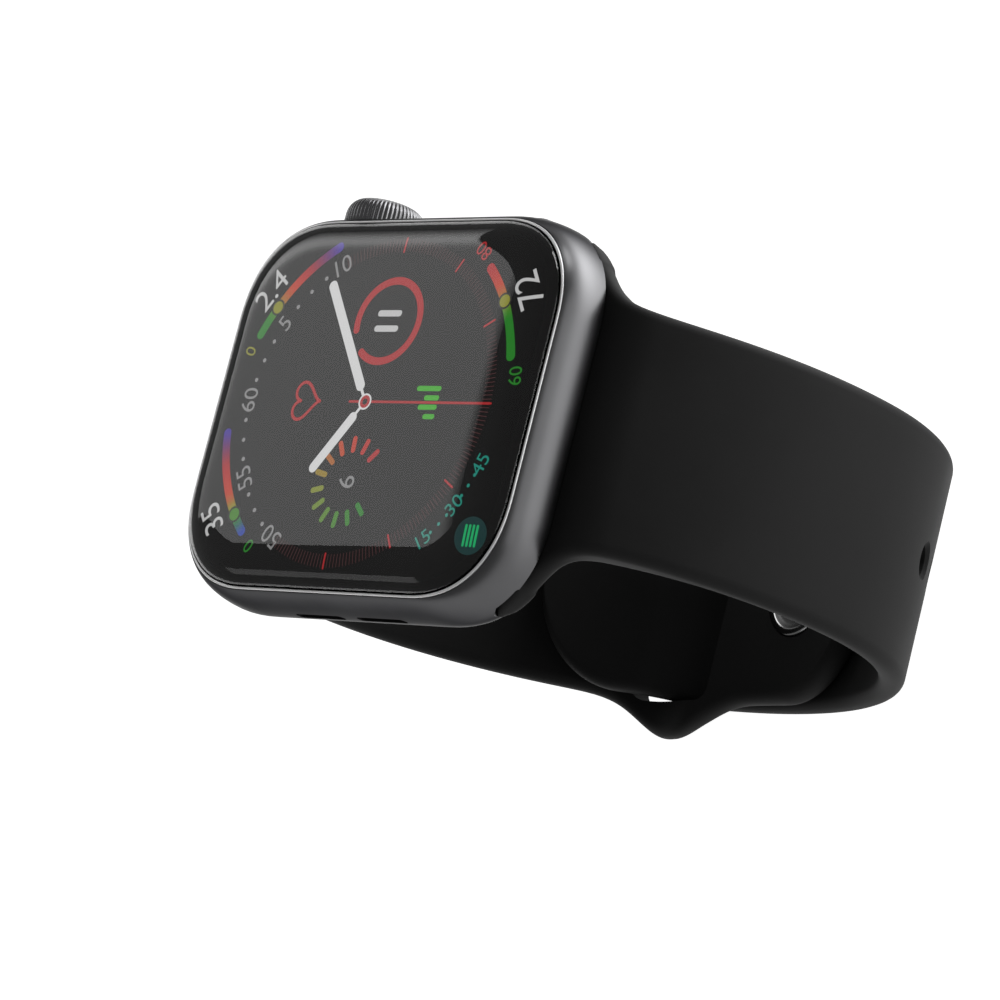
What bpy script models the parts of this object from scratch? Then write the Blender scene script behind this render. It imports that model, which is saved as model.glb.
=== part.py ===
"""A smartwatch with its band closed: housing, curved display, turning crown, side button, sensor back and a
two-piece elastomer band that slides out of the housing.

Watch frame, used for the whole row: +X is the crown side, +Y the 12 o'clock side, +Z out of the screen. The
origin is the middle of the outer face of the sensor crystal, where a wrist or a charger meets it. The lengths
below are in millimetres, and MM turns them into Blender's metres when a mesh is written.
"""

import bisect
import math

import bmesh
import bpy
from mathutils import Vector

MM = 0.001

# Housing: a rounded block, widest at BULGE_Z, with superelliptic corners.
HALF_X = 19.3
HALF_Y = 21.75
CORNER_RADIUS = 10.6
CORNER_SHARE = 0.55  # part of an inset that is taken off the corner radius
SQUIRCLE = 2.35
CORNER_STEPS = 7
BULGE_Z = 4.7
RIM_Z = 9.2
BACK_Z = 0.7
FRONT_PROFILE = (1.6, 4.9)  # inset and height semi-axes of the side, in front of the bulge
BACK_PROFILE = (3.6, 4.19)  # the same behind it
PROFILE_STEPS = 5

# Clearance between pieces that rest on or in each other.
GAP = 0.1

# Front opening, glass and display.
GLASS_INSET = 1.35  # from the housing's widest outline to the glass
GLASS_TOP_Z = 10.7
GLASS_BOTTOM_Z = 8.3
GLASS_EDGE_RUN = 3.4  # how far in the rounded edge of the glass reaches
GLASS_POCKET_INSET = 2.4
GLASS_POCKET_Z = 9.6
LEDGE_Z = 7.85
DISPLAY_INSET = 2.65
DISPLAY_BOTTOM_Z = 8.55

# Inner space, and the stepped opening in the back.
CAVITY_HALF_X = 16.2
CAVITY_HALF_Y = 16.0
CAVITY_RADIUS = 4.0
FLOOR_Z = 2.0
REAR_HALF_X = 14.4
REAR_HALF_Y = 14.6
REAR_RADIUS = 11.5
REAR_STEP = 1.2
REAR_STEP_Z = 1.5
ELECTRODE_RADII = (11.1, 11.9)
CRYSTAL_RADIUS = 11.0
CRYSTAL_FLAT_RADIUS = 3.5

# Band channels across both ends of the housing, and the lug that slides in them.
NECK_TOP_Z = 4.6
NECK_THICK = 2.3
LUG_EXTRA = 0.25  # how much further the lug bar reaches, above and below the neck
LUG_Y = (17.05, 19.7)
LUG_SHORT = 0.12  # how far each end of the lug bar stays behind the housing's side
CHANNEL_CLEAR = 0.12
CHANNEL_CHAMFER = 0.9
BAR_BEVEL = 0.15

# Controls.
CONTROL_Z = 4.9
CROWN_Y = 9.1
CROWN_RADIUS = 3.85
CROWN_X = (18.3, 21.3)
CROWN_SIDES = 40
POCKET_X = 17.5
BUSH_RADII = (1.3, 2.0)
SHAFT_RADIUS = 1.22
BUTTON_Y = -6.9
BUTTON_HALF = (6.1, 1.25)
BUTTON_FACE_X = 19.55
RELEASE_Y = 18.3
RELEASE_HALF = (3.0, 1.0)
RELEASE_Z = (0.78, 1.5)
SPEAKER_SLOT_Y = (-4.0, 4.0)

# Band: its outer face is an arc off each lug, a circle, and half an ellipse below.
LOOP_RADIUS = 36.1
LOOP_CENTRE_Z = -21.5
LOOP_DEPTH = 29.8
SHOULDER_RADIUS = 6.0
STRAP_THICK = 2.6
STRAP_HALF = 11.3
FLARE = (4.35, 2.8, 1.15)  # extra half-width at the lug, how far it fades, and the fade's exponent
LAYER_GAP = 0.25
CROSS_Y = (2.1, 11.3)  # the two straps change places between these
BULGE_Y = 6.9
BULGE_EXTRA = 3.8
BULGE_SPREAD = 6.3
BULGE_POWER = 2.4
SLOT_Y = (1.2, 12.1)
SLOT_HALF = 11.55
SLOT_RADIUS = 1.7
TAIL_LENGTH = 36.0  # along the band, from the pin to the tip of the tail
HOLE_PITCH = 5.9
HOLE_RADIUS = 1.5
HOLES_PAST_PIN = (-1, 5)  # first and last hole, counted from the pin towards the lug
EDGE_RADIUS = 1.15
EDGE_STEPS = 3
TIP_STEPS = 9
NECK_LENGTH = 5.0  # of the flat part, from the lug bar's inner face
SHOULDER_EXTRA = 1.4
LOOP_PIN = 10.4  # along the band, from its lowest point to the stud
POST_RADIUS = 1.3
DISC_RADIUS = 4.7

COLOURS = {
    "anodised_grey": ((0.13, 0.13, 0.135), 0.35, 1.0),
    "black_glass": ((0.012, 0.012, 0.013), 0.05, 0.0),
    "display": ((0.03, 0.03, 0.032), 0.3, 0.0),
    "ceramic": ((0.03, 0.03, 0.032), 0.2, 0.0),
    "steel": ((0.55, 0.55, 0.56), 0.25, 1.0),
    "elastomer": ((0.014, 0.014, 0.015), 0.5, 0.0),
    "seal": ((0.03, 0.03, 0.03), 0.7, 0.0),
    "circuit": ((0.04, 0.09, 0.05), 0.5, 0.0),
    "cell": ((0.08, 0.08, 0.085), 0.5, 0.0),
    "copper": ((0.72, 0.38, 0.2), 0.3, 1.0),
}


def clear_scene():
    for obj in list(bpy.data.objects):
        bpy.data.objects.remove(obj, do_unlink=True)


def make_materials():
    made = {}
    for name, (colour, roughness, metallic) in COLOURS.items():
        material = bpy.data.materials.new(name)
        material.use_nodes = True
        shader = material.node_tree.nodes["Principled BSDF"]
        shader.inputs["Base Color"].default_value = (*colour, 1.0)
        shader.inputs["Roughness"].default_value = roughness
        shader.inputs["Metallic"].default_value = metallic
        made[name] = material
    return made


def place(name, bm, material, smooth_angle=40):
    """Turns a bmesh in millimetres into an object in metres."""
    bmesh.ops.recalc_face_normals(bm, faces=bm.faces)
    bmesh.ops.scale(bm, vec=(MM, MM, MM), verts=bm.verts)
    mesh = bpy.data.meshes.new(name)
    bm.to_mesh(mesh)
    bm.free()
    mesh.shade_smooth()
    mesh.set_sharp_from_angle(angle=math.radians(smooth_angle))
    obj = bpy.data.objects.new(name, mesh)
    bpy.context.scene.collection.objects.link(obj)
    if material is None:
        obj.hide_render = True
        obj.display_type = "WIRE"
    else:
        mesh.materials.append(MATERIALS[material])
    return obj


def combine(obj, other, operation):
    modifier = obj.modifiers.new(f"{operation} {other.name}", "BOOLEAN")
    modifier.operation = operation
    modifier.object = other
    modifier.solver = "EXACT"


def cut(obj, *cutters):
    for cutter in cutters:
        combine(obj, cutter, "DIFFERENCE")


def skin(bm, rings, closed):
    """Faces between rings of equally many points, closed into a tube or capped at both ends."""
    loops = [[bm.verts.new(point) for point in ring] for ring in rings]
    pairs = list(zip(loops, loops[1:]))
    if closed:
        pairs.append((loops[-1], loops[0]))
    else:
        bm.faces.new(loops[0])
        bm.faces.new(loops[-1])
    for low, high in pairs:
        for i in range(len(low)):
            j = (i + 1) % len(low)
            bm.faces.new((low[i], low[j], high[j], high[i]))


def lofted(name, rings, material, closed=False):
    bm = bmesh.new()
    skin(bm, rings, closed)
    return place(name, bm, material)


def outline(half_x, half_y, radius, z, steps=CORNER_STEPS):
    """Corners of a rounded rectangle at height z; the corners are superellipses."""
    points = []
    for quarter, (sign_x, sign_y) in enumerate(((1, 1), (-1, 1), (-1, -1), (1, -1))):
        angles = [math.pi / 2 * i / steps for i in range(steps + 1)]
        if quarter % 2:
            angles.reverse()
        for angle in angles:
            out_x = max(math.cos(angle), 0.0) ** (2 / SQUIRCLE)
            out_y = max(math.sin(angle), 0.0) ** (2 / SQUIRCLE)
            x = sign_x * (half_x - radius + radius * out_x)
            y = sign_y * (half_y - radius + radius * out_y)
            points.append((x, y, z))
    return points


def case_outline(inset, z, steps=CORNER_STEPS):
    return outline(HALF_X - inset, HALF_Y - inset, CORNER_RADIUS - CORNER_SHARE * inset, z, steps)


def case_half_x(y):
    """How far the housing's widest outline reaches along X, at a distance y from the middle."""
    out_y = max((y - HALF_Y + CORNER_RADIUS) / CORNER_RADIUS, 0.0)
    out_x = (1 - out_y**SQUIRCLE) ** (1 / SQUIRCLE)
    return HALF_X - CORNER_RADIUS + CORNER_RADIUS * out_x


def slab(name, half_x, half_y, radius, z_range, material, steps=4):
    return lofted(name, [outline(half_x, half_y, radius, z, steps) for z in z_range], material)


def frame_ring(name, outer, width, z_range, material, steps=CORNER_STEPS):
    """A flat ring with a rounded rectangular outline: outer is its half sizes and corner radius."""
    half_x, half_y, radius = outer
    low, high = z_range
    inner = (half_x - width, half_y - width, max(radius - width, 0.4))
    rings = [outline(*outer, low, steps), outline(*outer, high, steps)]
    rings += [outline(*inner, high, steps), outline(*inner, low, steps)]
    return lofted(name, rings, material, closed=True)


def block(name, x_range, y_range, z_range, material, bevel=0.0):
    """A box between two corners, its edges bevelled."""
    bm = bmesh.new()
    bmesh.ops.create_cube(bm, size=1.0)
    size = [high - low for low, high in (x_range, y_range, z_range)]
    middle = [(high + low) / 2 for low, high in (x_range, y_range, z_range)]
    bmesh.ops.scale(bm, vec=size, verts=bm.verts)
    bmesh.ops.translate(bm, vec=middle, verts=bm.verts)
    if bevel:
        bmesh.ops.bevel(bm, geom=bm.edges[:], offset=bevel, segments=1, affect="EDGES")
    return place(name, bm, material)


def turned(name, profile, centre, axis, material, sides=24, hollow=False):
    """A lathe shape. The profile is (distance along the axis, radius); a hollow one is a closed section."""
    along = Vector(axis)
    turn = along.to_track_quat("Z", "Y").to_matrix()
    rings = []
    for distance, radius in profile:
        ring = []
        for i in range(sides):
            angle = 2 * math.pi * i / sides
            across = turn @ Vector((radius * math.cos(angle), radius * math.sin(angle), 0.0))
            ring.append(Vector(centre) + along * distance + across)
        rings.append(ring)
    return lofted(name, rings, material, closed=hollow)


def rod(name, centre, axis, length, radius, material, sides=24):
    """A plain cylinder that starts at centre and runs along axis."""
    return turned(name, [(0.0, radius), (length, radius)], centre, axis, material, sides)


def collar(name, centre, axis, length, radii, material, sides=24):
    """A plain tube that starts at centre and runs along axis."""
    inner, outer = radii
    section = [(0.0, outer), (length, outer), (length, inner), (0.0, inner)]
    return turned(name, section, centre, axis, material, sides, hollow=True)


def stadium(name, centre, half_long, half_short, depth_range, long_axis, depth_axis, material, steps=5):
    """A bar with half-round ends, extruded along depth_axis between two distances from its centre."""
    long_axis = Vector(long_axis)
    depth_axis = Vector(depth_axis)
    short_axis = depth_axis.cross(long_axis)
    reach = half_long - half_short
    ring = []
    for side in (1, -1):
        for i in range(steps + 1):
            angle = -math.pi / 2 + math.pi * i / steps
            along = side * (reach + half_short * math.cos(angle))
            ring.append(long_axis * along + short_axis * (side * half_short * math.sin(angle)))
    rings = [[Vector(centre) + point + depth_axis * depth for point in ring] for depth in depth_range]
    return lofted(name, rings, material)


# --- housing ---------------------------------------------------------------------------------------------


def side_profile():
    """(inset, z) down the side of the housing, from the front rim to the back."""
    inset_axis, height_axis = FRONT_PROFILE
    front_end = math.asin((RIM_Z - BULGE_Z) / height_axis)
    profile = []
    for i in range(PROFILE_STEPS + 1):
        angle = front_end * (1 - i / PROFILE_STEPS)
        profile.append((inset_axis * (1 - math.cos(angle)), BULGE_Z + height_axis * math.sin(angle)))
    inset_axis, height_axis = BACK_PROFILE
    back_end = math.asin((BULGE_Z - BACK_Z) / height_axis)
    for i in range(1, PROFILE_STEPS + 1):
        angle = back_end * i / PROFILE_STEPS
        profile.append((inset_axis * (1 - math.cos(angle)), BULGE_Z - height_axis * math.sin(angle)))
    return profile


def channel_cutter(name, side):
    """The T-shaped channel that a lug slides through, along X."""
    neck_low = NECK_TOP_Z - NECK_THICK - CHANNEL_CLEAR
    neck_high = NECK_TOP_Z + CHANNEL_CLEAR
    bar_low = neck_low - LUG_EXTRA
    bar_high = neck_high + LUG_EXTRA
    inner, step = LUG_Y[0] - CHANNEL_CLEAR, LUG_Y[1] + CHANNEL_CLEAR
    outside = HALF_Y + 2.0
    slope = CHANNEL_CHAMFER
    bevel = BAR_BEVEL
    section = [(inner + slope, bar_low), (step - bevel, bar_low), (step, bar_low + bevel), (step, neck_low)]
    section += [(outside, neck_low), (outside, neck_high), (step, neck_high), (step, bar_high - bevel)]
    section += [(step - bevel, bar_high), (inner + slope, bar_high), (inner, bar_high - slope)]
    section += [(inner, bar_low + slope)]
    reach = HALF_X + 2.0
    rings = [[(x, side * y, z) for y, z in section] for x in (-reach, reach)]
    return lofted(name, rings, None)


def make_housing():
    rings = [case_outline(inset, z) for inset, z in side_profile()]
    housing = lofted("case_housing", rings, "anodised_grey")
    above = GLASS_TOP_Z + 1.0
    below = BACK_Z - 1.0
    opening_inset = GLASS_INSET - GAP
    opening = lofted(
        "cutter_front_opening",
        [case_outline(opening_inset, z) for z in (LEDGE_Z, above)],
        None,
    )
    cavity = slab(
        "cutter_cavity",
        CAVITY_HALF_X,
        CAVITY_HALF_Y,
        CAVITY_RADIUS,
        (FLOOR_Z, LEDGE_Z + 0.5),
        None,
        steps=5,
    )
    depths = (below, REAR_STEP_Z)
    rear_step = slab("cutter_rear_step", REAR_HALF_X, REAR_HALF_Y, REAR_RADIUS, depths, None, 8)
    rear_hole = slab(
        "cutter_rear_hole",
        REAR_HALF_X - REAR_STEP,
        REAR_HALF_Y - REAR_STEP,
        REAR_RADIUS - REAR_STEP,
        (below, FLOOR_Z + 0.5),
        None,
        8,
    )
    cut(housing, opening, cavity, rear_step, rear_hole)
    for side, label in ((1, "12"), (-1, "6")):
        cut(housing, channel_cutter(f"cutter_channel_{label}", side))
        release = stadium(
            f"cutter_release_{label}",
            (0, side * RELEASE_Y, 0),
            RELEASE_HALF[0] + GAP,
            RELEASE_HALF[1] + GAP,
            (-1.0, 3.0),
            (1, 0, 0),
            (0, 0, 1),
            None,
        )
        cut(housing, release)
    crown_middle = (0, CROWN_Y, CONTROL_Z)
    pocket = turned(
        "cutter_crown_pocket",
        [(POCKET_X, CROWN_RADIUS + 0.12), (HALF_X + 1.0, CROWN_RADIUS + 0.12)],
        crown_middle,
        (1, 0, 0),
        None,
        CROWN_SIDES,
    )
    bore = turned(
        "cutter_crown_bore",
        [(CAVITY_HALF_X - 2.0, BUSH_RADII[1] + GAP), (POCKET_X + 0.5, BUSH_RADII[1] + GAP)],
        crown_middle,
        (1, 0, 0),
        None,
    )
    button_slot = stadium(
        "cutter_side_button",
        (0, BUTTON_Y, CONTROL_Z),
        BUTTON_HALF[0] + GAP,
        BUTTON_HALF[1] + GAP,
        (CAVITY_HALF_X - 2.0, HALF_X + 1.0),
        (0, 1, 0),
        (1, 0, 0),
        None,
    )
    microphone_hole = rod("cutter_microphone", (14.0, 2.0, CONTROL_Z), (1, 0, 0), 6.0, 0.5, None, 12)
    cut(housing, pocket, bore, button_slot, microphone_hole)
    for number, y in enumerate(SPEAKER_SLOT_Y, 1):
        slot = stadium(
            f"cutter_speaker_{number}",
            (0, y, CONTROL_Z),
            3.1,
            0.55,
            (CAVITY_HALF_X - 2.0, HALF_X + 1.0),
            (0, 1, 0),
            (-1, 0, 0),
            None,
        )
        cut(housing, slot)


# --- front ------------------------------------------------------------------------------------------------


def glass_rings():
    """Outer skin of the glass, from its lower edge up and over the rounded edge to the flat top."""
    steps = 6
    rings = [case_outline(GLASS_INSET, GLASS_BOTTOM_Z), case_outline(GLASS_INSET, RIM_Z)]
    for i in range(1, steps + 1):
        angle = math.pi / 2 * i / steps
        inset = GLASS_INSET + GLASS_EDGE_RUN * (1 - math.cos(angle))
        rings.append(case_outline(inset, RIM_Z + (GLASS_TOP_Z - RIM_Z) * math.sin(angle)))
    return rings


def make_front():
    glass = lofted("cover_glass", glass_rings(), "black_glass")
    pocket = lofted(
        "cutter_glass_pocket",
        [case_outline(GLASS_POCKET_INSET, z) for z in (GLASS_BOTTOM_Z - 1.0, GLASS_POCKET_Z)],
        None,
    )
    cut(glass, pocket)
    display_rings = [case_outline(DISPLAY_INSET, z) for z in (DISPLAY_BOTTOM_Z, GLASS_POCKET_Z - GAP)]
    lofted("display_panel", display_rings, "display")
    gasket = (HALF_X - GLASS_INSET, HALF_Y - GLASS_INSET, CORNER_RADIUS - CORNER_SHARE * GLASS_INSET)
    frame_ring("display_gasket", gasket, 1.1, (LEDGE_Z + 0.05, GLASS_BOTTOM_Z - 0.05), "seal")
    antenna = (CAVITY_HALF_X - 0.3, CAVITY_HALF_Y - 0.3, CAVITY_RADIUS - 0.3)
    frame_ring("antenna_frame", antenna, 0.9, (7.15, 7.6), "cell", steps=4)


# --- back -------------------------------------------------------------------------------------------------


def make_back():
    cover = slab(
        "rear_cover",
        REAR_HALF_X - GAP,
        REAR_HALF_Y - GAP,
        REAR_RADIUS - GAP,
        (BACK_Z + 0.02, 1.25),
        "ceramic",
        8,
    )
    window_radius = ELECTRODE_RADII[1] + GAP
    window = rod("cutter_rear_window", (0, 0, BACK_Z - 1.0), (0, 0, 1), 4.0, window_radius, None, 40)
    cut(cover, window)
    gasket = (REAR_HALF_X - GAP, REAR_HALF_Y - GAP, REAR_RADIUS - GAP)
    frame_ring("rear_gasket", gasket, REAR_STEP - 0.2, (1.29, REAR_STEP_Z - 0.04), "seal", 8)
    dome = [(0.0, CRYSTAL_FLAT_RADIUS), (0.05, 5.2), (0.2, 7.6), (0.42, 9.6), (0.62, CRYSTAL_RADIUS)]
    dome.append((1.25, CRYSTAL_RADIUS))
    turned("sensor_crystal", dome, (0, 0, 0), (0, 0, 1), "black_glass", 40)
    collar("electrode_ring", (0, 0, 0.62), (0, 0, 1), 0.63, ELECTRODE_RADII, "steel", 40)
    rod("sensor_board", (0, 0, 1.55), (0, 0, 1), 0.5, 10.6, "circuit", 32)
    collar("charging_coil", (0, 0, 2.15), (0, 0, 1), 0.6, (6.6, 10.4), "copper", 32)
    rod("alignment_magnet", (0, 0, 2.15), (0, 0, 1), 0.8, 5.9, "steel", 28)
    for side, label in ((1, "12"), (-1, "6")):
        middle = (0, side * RELEASE_Y, 0)
        stadium(
            f"release_button_{label}",
            middle,
            RELEASE_HALF[0],
            RELEASE_HALF[1],
            RELEASE_Z,
            (1, 0, 0),
            (0, 0, 1),
            "anodised_grey",
        )


# --- controls ---------------------------------------------------------------------------------------------


def make_crown():
    middle = (0, CROWN_Y, CONTROL_Z)
    axis = (1, 0, 0)
    inner, outer = CROWN_X
    profile = [(inner, CROWN_RADIUS - 0.45), (inner + 0.4, CROWN_RADIUS), (outer - 1.7, CROWN_RADIUS)]
    profile += [(outer - 0.85, CROWN_RADIUS - 0.2), (outer - 0.25, CROWN_RADIUS - 0.7)]
    profile.append((outer, CROWN_RADIUS - 1.35))
    knob = turned("crown_knob", profile, middle, axis, "anodised_grey", CROWN_SIDES)
    recess = rod("cutter_crown_recess", (outer - 0.4, CROWN_Y, CONTROL_Z), axis, 2.0, 2.3, None)
    socket_radius = SHAFT_RADIUS + 0.05
    socket = rod("cutter_crown_socket", (inner - 1.0, CROWN_Y, CONTROL_Z), axis, 1.9, socket_radius, None)
    cut(knob, recess, socket)
    rod("crown_cap", (outer - 0.35, CROWN_Y, CONTROL_Z), axis, 0.3, 2.2, "steel")
    rod("crown_shaft", (12.4, CROWN_Y, CONTROL_Z), axis, inner + 0.85 - 12.4, SHAFT_RADIUS, "steel")
    collar("crown_bushing", (12.9, CROWN_Y, CONTROL_Z), axis, 4.2, BUSH_RADII, "steel")
    collar("crown_seal", (POCKET_X + 0.02, CROWN_Y, CONTROL_Z), axis, 0.3, (1.3, 2.5), "seal")
    rod("crown_thrust_plate", (11.85, CROWN_Y, CONTROL_Z), axis, 0.45, 1.7, "steel")
    rod("crown_switch", (10.75, CROWN_Y, CONTROL_Z), axis, 0.7, 1.4, "steel", 16)
    block("crown_sensor", (12.9, 15.6), (3.9, 6.1), (3.4, 6.4), "circuit", 0.2)


def make_side_button():
    middle = (0, BUTTON_Y, CONTROL_Z)
    button = stadium(
        "side_button", middle, *BUTTON_HALF, (15.2, BUTTON_FACE_X), (0, 1, 0), (1, 0, 0), "anodised_grey"
    )
    along, outward = (0, 1, 0), (1, 0, 0)
    flange_x = (15.5, 16.05)
    flange = stadium("cutter_button_flange", middle, BUTTON_HALF[0], 1.9, flange_x, along, outward, None)
    combine(button, flange, "UNION")
    block("side_button_switch", (13.9, 14.8), (-9.3, -5.7), (3.7, 6.1), "steel", 0.15)
    block("microphone", (13.2, 15.9), (0.7, 3.3), (3.7, 6.1), "steel", 0.2)


# --- inside -----------------------------------------------------------------------------------------------


def make_inside():
    block("battery", (-10.6, 9.9), (0.9, 15.4), (3.2, 6.9), "cell", 0.4)
    block("main_module", (-10.6, 12.6), (-7.1, 0.3), (3.2, 6.4), "steel", 0.3)
    block("speaker_module", (-15.4, -11.2), (-8.2, 8.2), (2.8, 6.7), "cell", 0.4)
    block("speaker_mesh", (-16.1, -15.85), (-7.6, 7.6), (4.1, 5.7), "steel")
    haptic = block("haptic_housing", (-10.6, 10.2), (-15.4, -7.7), (3.2, 6.5), "steel", 0.3)
    cut(haptic, block("cutter_haptic", (-10.0, 9.6), (-14.8, -8.3), (3.8, 8.0), None))
    block("haptic_mass", (-6.2, 5.8), (-14.4, -8.7), (4.1, 6.2), "steel", 0.3)
    for label, x in (("left", -9.1), ("right", 8.3)):
        collar(f"haptic_spring_{label}", (x + 0.2, -11.55, 5.1), (0, 0, 1), 1.0, (0.75, 1.0), "steel", 16)
    block("haptic_cover", (-10.6, 10.2), (-15.4, -7.7), (6.6, 6.9), "steel")


# --- band -------------------------------------------------------------------------------------------------


def loop_points():
    """The band's outer face as (y, z), from inside one channel, round the bottom, to inside the other."""
    centre_z = NECK_TOP_Z - SHOULDER_RADIUS
    reach = LOOP_RADIUS - SHOULDER_RADIUS
    rise = centre_z - LOOP_CENTRE_Z
    shoulder_y = math.sqrt(reach * reach - rise * rise)
    join = math.atan2(rise, shoulder_y)
    points = []
    for i in range(12):
        points.append((LUG_Y[0] + (shoulder_y - LUG_Y[0]) * i / 12, NECK_TOP_Z))
    for i in range(24):
        angle = math.pi / 2 + (join - math.pi / 2) * i / 24
        y = shoulder_y + SHOULDER_RADIUS * math.cos(angle)
        points.append((y, centre_z + SHOULDER_RADIUS * math.sin(angle)))
    for i in range(80):
        angle = join * (1 - i / 80)
        points.append((LOOP_RADIUS * math.cos(angle), LOOP_CENTRE_Z + LOOP_RADIUS * math.sin(angle)))
    for i in range(161):
        angle = -math.pi / 2 * i / 160
        points.append((LOOP_RADIUS * math.cos(angle), LOOP_CENTRE_Z + LOOP_DEPTH * math.sin(angle)))
    return points + [(-y, z) for y, z in reversed(points[:-1])]


class Loop:
    """The band's outer face, measured by its length from the start of the lug."""

    def __init__(self, points):
        self.points = points
        self.lengths = [0.0]
        for before, after in zip(points, points[1:]):
            self.lengths.append(self.lengths[-1] + math.dist(before, after))
        self.half = self.lengths[-1] / 2

    def point(self, length):
        i = min(max(bisect.bisect_right(self.lengths, length), 1), len(self.points) - 1)
        part = (length - self.lengths[i - 1]) / (self.lengths[i] - self.lengths[i - 1])
        (y0, z0), (y1, z1) = self.points[i - 1], self.points[i]
        return y0 + (y1 - y0) * part, z0 + (z1 - z0) * part

    def frame(self, length):
        """The point at a length, and the outward normal there."""
        (y0, z0), (y1, z1) = self.point(length - 0.3), self.point(length + 0.3)
        size = math.hypot(y1 - y0, z1 - z0)
        return self.point(length), (-(z1 - z0) / size, (y1 - y0) / size)


def smooth(value):
    value = min(max(value, 0.0), 1.0)
    return value * value * (3 - 2 * value)


def crossed(y):
    """0 where the strap with the holes runs outside, 1 where it runs inside."""
    return smooth((y - CROSS_Y[0]) / (CROSS_Y[1] - CROSS_Y[0]))


def strap_depth(y, own_side):
    """How far below the loop a strap's outer face runs; own_side is 1 for the strap from 12 o'clock."""
    share = 1 - crossed(y) if own_side > 0 else crossed(y)
    return share * (STRAP_THICK + LAYER_GAP)


def strap_thickness(length):
    """Neck, then a thicker shoulder that thins towards the loop."""
    if length < NECK_LENGTH:
        return NECK_THICK
    swell = smooth((length - NECK_LENGTH) / 5.0) * math.exp(-(((length - 10.0) / 9.0) ** 2))
    thinner = (NECK_THICK - STRAP_THICK) * math.exp(-(length - NECK_LENGTH))
    return STRAP_THICK + thinner + SHOULDER_EXTRA * swell


def strap_half_width(y, z):
    extra, reach, exponent = FLARE
    if z < LOOP_CENTRE_Z:
        return STRAP_HALF
    return STRAP_HALF + extra * math.exp(-((max(abs(y) - LUG_Y[1], 0.0) / reach) ** exponent))


def section(half, low, high, corner):
    """A strap's cross-section as (x, depth) with rounded edges; depths are measured outwards."""
    corner = min(corner, (high - low) / 2 - 0.05, half - 0.05)
    points = []
    for side_x, side_z, turn in ((1, 1, 0), (-1, 1, 1), (-1, -1, 2), (1, -1, 3)):
        for i in range(EDGE_STEPS + 1):
            angle = math.pi / 2 * (turn + i / EDGE_STEPS)
            x = side_x * (half - corner) + corner * math.cos(angle)
            middle = high - corner if side_z > 0 else low + corner
            points.append((x, middle + corner * math.sin(angle)))
    return points


def strap_ring(loop, length, own_side, half, depth, thickness, corner=EDGE_RADIUS):
    (y, z), (normal_y, normal_z) = loop.frame(length)
    ring = []
    for x, out in section(half, -depth - thickness, -depth, corner):
        ring.append((x, own_side * (y + normal_y * out), z + normal_z * out))
    return ring


def strap_rings(loop, own_side, end, bulge):
    """Rings from the lug bar to the round end of a strap."""
    bar = NECK_THICK + 2 * LUG_EXTRA
    step = LUG_Y[1] - LUG_Y[0]
    rings = []
    bar_shape = ((0.05, 0.95), (0.95, 0.0), (1.6, 0.0), (step - 0.3, 0.0), (step - 0.05, BAR_BEVEL))
    for length, inset in bar_shape:
        half = case_half_x(LUG_Y[0] + length) - LUG_SHORT
        ring = strap_ring(loop, length, own_side, half, inset - LUG_EXTRA, bar - 2 * inset, 1.1)
        rings.append(ring)
    lengths = [step]
    while lengths[-1] < end - STRAP_HALF - 0.5:
        near_lug = lengths[-1] < 16.0
        crossing = abs(lengths[-1] - loop.half) < 16.0
        lengths.append(lengths[-1] + (0.8 if near_lug else 1.5 if crossing else 2.6))
    tip = end - STRAP_HALF
    lengths = [length for length in lengths if length < tip]
    for i in range(TIP_STEPS + 1):
        lengths.append(tip + STRAP_HALF * math.sin(math.pi / 2 * i / TIP_STEPS) * 0.995)
    for length in lengths:
        y, z = loop.point(length)
        half = strap_half_width(y, z)
        if bulge:
            half += BULGE_EXTRA * math.exp(-((abs(y - BULGE_Y) / BULGE_SPREAD) ** BULGE_POWER))
        if length > tip:
            half = math.sqrt(max(STRAP_HALF**2 - (length - tip) ** 2, 0.2))
        depth = strap_depth(own_side * y, own_side)
        rings.append(strap_ring(loop, length, own_side, half, depth, strap_thickness(length)))
    return rings


def pierce(loop, name, length, own_side, depth_range, radius, sides=20):
    """A cutter along the band's normal, between two depths below the loop."""
    (y, z), (normal_y, normal_z) = loop.frame(length)
    start, stop = depth_range
    centre = (0, own_side * (y - normal_y * start), z - normal_z * start)
    axis = (0, -own_side * normal_y, -normal_z)
    return rod(name, centre, axis, stop - start, radius, None, sides)


def make_pin(loop, length):
    """The closing stud: a disc on the inside, a post through both straps and a rounded head outside."""
    (y, z), (normal_y, normal_z) = loop.frame(length)
    inside = 2 * STRAP_THICK + LAYER_GAP
    profile = [(-0.75, 0.9), (-0.6, 1.5), (-0.3, 1.85), (-0.12, 1.85), (-0.12, POST_RADIUS)]
    profile += [(inside - 0.62, POST_RADIUS), (inside - 0.62, DISC_RADIUS), (inside + 0.1, DISC_RADIUS)]
    profile += [(inside + 0.3, DISC_RADIUS - 0.3), (inside + 0.3, DISC_RADIUS - 1.0)]
    profile += [(inside + 0.15, DISC_RADIUS - 1.3)]
    centre = (0, -y, z)
    turned("closure_pin", profile, centre, (0, normal_y, -normal_z), "steel", 32)


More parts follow.
